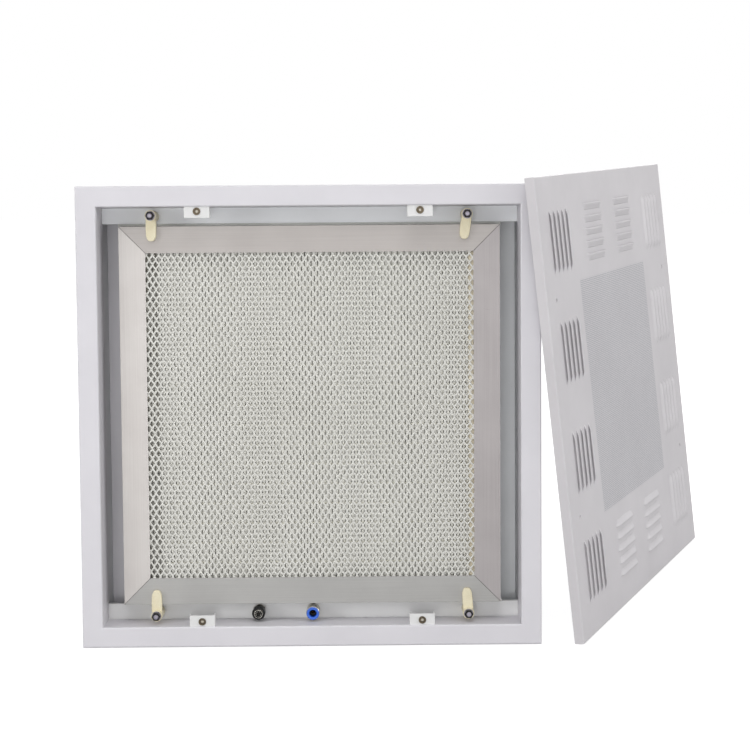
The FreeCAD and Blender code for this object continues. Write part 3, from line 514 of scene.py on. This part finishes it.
plated = grained("zinc_plate", base=(158, 154, 164), drift=(132, 128, 138),
                 grain=(1200.0,) * 3, patch=150.0, gloss=0.42, bump=0.00003, Metallic=0.9)
black_nut = grained("blackened_steel", base=(40, 38, 38), drift=(26, 25, 25),
                    grain=(1200.0,) * 3, patch=200.0, gloss=0.36, bump=0.00004,
                    Metallic=0.3, Specular_IOR_Level=0.3)
dress(plated, "clip_studs", "clip_washers")
dress(black_nut, "clip_nuts")


# Rivet nuts in the fixing tabs: turned steel with a bronze passivation, squeezed into
# a hole in the tab. Each bore ends in a pale cone, a painted glint that shows at its middle.
CONE_BACK, CONE_DEEP, CONE_FOOT, CONE_TIP = 0.0022, 0.0014, 0.00207, 0.0015

bronzed = grained("passivated_steel", base=(92, 82, 66), drift=(70, 62, 52),
                  grain=(1200.0,) * 3, patch=200.0, gloss=0.3, bump=0.00003, Metallic=0.7)
bright_steel = grained("bright_steel", base=(240, 232, 216), drift=(224, 214, 196),
                       grain=(900.0,) * 3, patch=200.0, gloss=0.3, bump=0.00002,
                       Metallic=0.15)
dress(bronzed, "rivet_nuts")
cones = bmesh.new()
for screw in screws:
    centre = Vector(screw["pos_m"]) - CONE_BACK * mouth_out
    bmesh.ops.create_cone(cones, cap_ends=True, segments=24, radius1=CONE_FOOT,
                          radius2=CONE_TIP, depth=CONE_DEEP,
                          matrix=mouth.inverted() @ Matrix.Translation(centre)
                          @ mouth.to_3x3().to_4x4())
make("insert_ends", cones, bright_steel)


# The two ports on the lower rail: a nickel plated test port in a black ring, and a
# push fitting with a blue collet that lets its hose go. Tubes run back through the
# seat, and black rubber rings seal the bores; a further black ring sits deep in the test
# port's bore as painted shade.
TEST_PORT, PUSH_PORT, PORTS_UP = -0.070, 0.0, -0.2553
SEAL_SQUASH, SEAL_SEGMENTS, SEAL_STEPS, SEAL_REACH = 0.68, 12, 32, 0.003

nickel = grained("nickel_plate", base=(204, 200, 192), drift=(170, 166, 158),
                 grain=(900.0,) * 3, patch=120.0, gloss=0.2, bump=0.00002, Metallic=0.95)
black_ring = grained("ring_black", base=(20, 20, 21), drift=(28, 28, 28),
                     grain=(1300.0,) * 3, patch=90.0, gloss=0.36, bump=0.00004,
                     Specular_IOR_Level=0.2)
blue = grained("collet_blue", base=(44, 104, 214), drift=(38, 92, 196),
               grain=(900.0,) * 3, patch=90.0, gloss=0.35, bump=0.00003)
copper = finish("tube_copper", drawn, {
    "Light": paint(206, 142, 108), "Dark": paint(168, 108, 78),
    "Stretch": (1500.0, 1500.0, 10.0), "Scuffs": 0.3, "Gloss": 0.3}, 0.00002, Metallic=1.0)
dress(nickel, "test_port_body", "push_fitting_body", "test_port_locknut",
      "push_fitting_locknut")
dress(black_ring, "test_port_ring")
dress(blue, "push_fitting_collet")
dress(copper, "test_port_tube", "pressure_tube")

# Each seal is spun at the origin and moved to its port before the next one is made.
seals = bmesh.new()
# The second ring, deep in the test port's bore, is black as painted shade there.
for across, ring, thick, level in ((TEST_PORT, 0.0041, 0.0007, -0.0236),
                                   (TEST_PORT, 0.0018, 0.0013, -0.0290),
                                   (PUSH_PORT, 0.0038, 0.0026, -0.0381)):
    section = bmesh.ops.create_circle(seals, segments=SEAL_SEGMENTS, radius=thick,
                                      matrix=Matrix.Rotation(math.pi / 2, 4, "X"))["verts"]
    bmesh.ops.scale(seals, verts=section, vec=(1, 1, SEAL_SQUASH))
    bmesh.ops.translate(seals, verts=section, vec=(ring, 0, 0))
    bmesh.ops.spin(seals, geom=section + edges_at(section), axis=(0, 0, 1), cent=(0, 0, 0),
                   angle=2 * math.pi, steps=SEAL_STEPS, use_merge=True)
    bmesh.ops.translate(seals, verts=[v for v in seals.verts if abs(v.co.z) < SEAL_REACH],
                        vec=(across, PORTS_UP, level))
bmesh.ops.recalc_face_normals(seals, faces=seals.faces)
make("port_seals_and_bore_shade", seals, black_ring, smooth=True)


# The face panel: a shallow pan pressed from 1.2 mm sheet, with five-slat louvres
# punched outwards in twelve groups round a field of fine holes, painted on as dark dots of
# painted shade. It stands on its rim beside the housing and leans on the flange. Coated in the
# same white, in a slightly darker copy as painted shade.
SIDE, STEEL, RIM, BEND = 0.594, 0.0012, 0.013, 0.0015
LOUVRE, ROOT, DEPTH, HEIGHT, EASE = 0.086, 0.074, 0.0095, 0.0032, 0.011
SLOT_NEAR, SLOT_FAR, SLOT_END = 0.0082, 0.0058, 0.0035
SLATS, SLAT_PITCH, GROUP_PITCH, RING_LINE = 5, 0.017, 0.142, 0.217
SCREW_ACROSS, SCREW_UP, SCREW_HOLE, DRAWN, NARROWED = 0.26, 0.14, 0.00275, 0.0026, 0.85
FIELD = 0.158

# Its place is read from the CAD pan: the lie of its outer face, and that face's middle.
pan = nodes["diffuser_panel"]
lowest = max((p for p in pan.data.polygons if p.normal.y < 0), key=lambda p: p.area)
panel_out = lowest.normal.copy()
panel_along = Vector((-panel_out.y, panel_out.x, 0)).normalized()
panel_up = panel_out.cross(panel_along)
panel_axes = Matrix((panel_along, panel_up, panel_out))
spread = [panel_axes @ v.co for v in pan.data.vertices]
middle = [(min(s[i] for s in spread) + max(s[i] for s in spread)) / 2 for i in (0, 1)]
face_level = max((panel_axes @ p.center)[2] for p in pan.data.polygons
                 if p.normal.dot(panel_out) > 0.9999 and p.area > 0.2 * lowest.area)
panel = (Matrix.Translation(panel_axes.transposed() @ Vector((*middle, face_level)))
         @ panel_axes.transposed().to_4x4())


def turned(angle):
    return Matrix.Rotation(angle, 4, "Z")


hood_places = []
for half_turn in (0, math.pi):
    for slat in range(SLATS):
        root = -RING_LINE - SLAT_PITCH * (SLATS - 1) / 2 + DEPTH / 2 + SLAT_PITCH * slat
        for group in (-1.5, -0.5, 0.5, 1.5):
            beside = Matrix.Translation((root, GROUP_PITCH * group, 0))
            hood_places.append(turned(half_turn) @ beside @ turned(math.pi / 2))
        for group in (-0.5, 0.5):
            below = Matrix.Translation((GROUP_PITCH * group, root, 0))
            hood_places.append(turned(half_turn) @ below @ turned(math.pi))

sheet, hoods = bmesh.new(), bmesh.new()
for place in hood_places:
    opening = bmesh.ops.create_circle(sheet, segments=4, radius=math.sqrt(0.5),
                                      matrix=turned(math.pi / 4))["verts"]
    for v in opening:
        v.co = (math.copysign(LOUVRE / 2 - SLOT_END, v.co.x),
                SLOT_NEAR if v.co.y > 0 else SLOT_FAR, 0)
    bmesh.ops.transform(sheet, matrix=place, verts=opening)
    hood = bmesh.ops.create_grid(hoods, x_segments=26, y_segments=6, size=1.0)["verts"]
    for v in hood:
        across, over = math.sin(v.co.x * math.pi / 2), (v.co.y + 1) / 2
        half = (ROOT + (LOUVRE - ROOT) * over) / 2
        inwards = min((1 - abs(across)) * half / EASE, 1)
        rise = (1 - math.cos(math.pi * min(over / 0.9, 1))) / 2
        v.co = (across * half, over * DEPTH,
                HEIGHT * rise * (inwards * inwards * (3 - 2 * inwards)))
    bmesh.ops.transform(hoods, matrix=place, verts=hood)
bores = []
for x in (-SCREW_ACROSS, SCREW_ACROSS):
    for y in (-SCREW_UP, SCREW_UP):
        centre = Vector((x, y, 0))
        bore = bmesh.ops.create_circle(sheet, segments=24, radius=SCREW_HOLE,
                                       matrix=Matrix.Translation(centre))["verts"]
        bores.append((centre, edges_at(bore)))
outline = bmesh.ops.create_circle(sheet, segments=4, radius=(SIDE / 2 - BEND) * math.sqrt(2),
                                  matrix=turned(math.pi / 4))["verts"]
edge = edges_at(outline)
bmesh.ops.triangle_fill(sheet, use_beauty=True, edges=sheet.edges, normal=(0, 0, 1))

# The screw holes are drawn inwards, and the edge is bent round and down into the rim.
for centre, loop in bores:
    for v in only(BMVert, bmesh.ops.extrude_edge_only(sheet, edges=loop)):
        v.co = centre + (v.co - centre) * NARROWED - Vector((0, 0, DRAWN))
steps = [(math.sin(a) * BEND, (math.cos(a) - 1) * BEND)
         for a in (math.pi / 8, math.pi / 4, math.pi * 3 / 8, math.pi / 2)] + [(BEND, -RIM)]
for out_by, level in steps:
    pulled = bmesh.ops.extrude_edge_only(sheet, edges=edge)
    edge = only(BMEdge, pulled)
    for v in only(BMVert, pulled):
        size = SIDE / 2 - BEND + out_by
        v.co = (math.copysign(size, v.co.x), math.copysign(size, v.co.y), level)
bmesh.ops.recalc_face_normals(sheet, faces=sheet.faces)
for part in (sheet, hoods):
    if sum(f.calc_area() * f.normal.z for f in part.faces) < 0:
        bmesh.ops.reverse_faces(part, faces=part.faces)

panel_coat_painted_shade = coated("panel_powder_coat_painted_shade", base=(211, 208, 211), drift=(204, 201, 204),
                    peel=800.0, sheen=0.4, field=FIELD, place=panel)
for name, mesh, smooth in (("louvred_panel", sheet, False), ("louvre_hoods", hoods, True)):
    piece = make(name, mesh, panel_coat_painted_shade, place=panel, smooth=smooth)
    thickness = piece.modifiers.new("sheet_thickness", "SOLIDIFY")
    thickness.thickness = STEEL
    thickness.offset = -1
    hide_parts("diffuser_panel")


# The studio: a white floor that fades into a white surround and keeps a soft shadow
# under the object, with lamps at the left, in front, to the right, above and behind.
FLOOR_REACH, FLOOR_GLOW = 9.0, 0.74
WORLD_LOW, WORLD_HIGH = 0.27, 0.6

floor_paint = bpy.data.materials.new("floor_paint")
floor_paint.use_nodes = True
tree = floor_paint.node_tree
tree.nodes.clear()
seen = put(tree, "LightPath")
white = put(tree, "Emission", {"Color": (1, 1, 1, 1), "Strength": FLOOR_GLOW})
dull = put(tree, "BsdfDiffuse", {"Color": paint(196, 196, 196)})
both = put(tree, "AddShader", {0: white.outputs[0], 1: dull.outputs[0]})
pick = put(tree, "MixShader", {0: seen.outputs["Is Camera Ray"], 1: dull.outputs[0],
                               2: both.outputs[0]})
put(tree, "OutputMaterial", {0: pick.outputs[0]})
floor_mesh = bmesh.new()
bmesh.ops.create_grid(floor_mesh, x_segments=8, y_segments=8, size=FLOOR_REACH)
floor = settle("floor", floor_mesh, floor_paint)

world = bpy.data.worlds.new("surround")
bpy.context.scene.world = world
world.use_nodes = True
tree = world.node_tree
tree.nodes.clear()
seen = put(tree, "LightPath")
direct = maths(tree, "MAXIMUM", seen.outputs["Is Camera Ray"],
               seen.outputs["Is Transmission Ray"])
direct = maths(tree, "MAXIMUM", direct, seen.outputs["Is Glossy Ray"])
facing = put(tree, "SeparateXYZ", {0: put(tree, "TexCoord").outputs["Generated"]})
glow = ramp(tree, facing.outputs[2], -0.3, 0.8, WORLD_LOW, WORLD_HIGH)
level = ramp(tree, direct, 0.0, 1.0, bottom=glow)
sky = put(tree, "Background", {"Color": (1, 1, 1, 1), "Strength": level})
put(tree, "OutputWorld", {0: sky.outputs[0]})


def lamp(name, place, aim, size, power):
    light = bpy.data.lights.new(name, "AREA")
    light.shape = "RECTANGLE"
    light.size, light.size_y = size
    light.energy = power
    rig = stand(name, light)
    rig.location = place
    rig.rotation_euler = (Vector(aim) - Vector(place)).to_track_quat("-Z", "Y").to_euler()


lamp("key_lamp", (-2.1, -1.6, 0.75), (-0.1, -0.2, 0.3), size=(0.7, 0.7), power=14)
lamp("front_lamp", (-0.3, -3.5, 0.45), (-0.1, -0.2, 0.3), size=(1.0, 0.8), power=20)
lamp("side_lamp", (3.2, -1.1, 1.2), (0.2, 0.0, 0.3), size=(1.5, 1.5), power=31)
lamp("top_lamp", (-0.1, -1.35, 2.5), (-0.1, -0.2, 0.2), size=(1.4, 1.0), power=12.5)
lamp("back_lamp", (0.7, 2.7, 2.2), (-0.1, 0.2, 0.3), size=(1.5, 1.5), power=36)

# The camera stands where the photograph was taken from; its lens was fitted in pixels.
FOCAL_PIXELS, FRAME_PIXELS = 1678.6, 750
eye = bpy.data.cameras.new("photo_view")
eye.sensor_width = 36
eye.lens = FOCAL_PIXELS / FRAME_PIXELS * eye.sensor_width
camera = stand("photo_view", eye)
camera.location = (-0.0824, -2.344, 0.6649)
camera.rotation_euler = [math.radians(angle) for angle in (81.2934, 0.3886, -0.4449)]
bpy.context.scene.camera = camera
bpy.context.scene.view_settings.view_transform = "Standard"
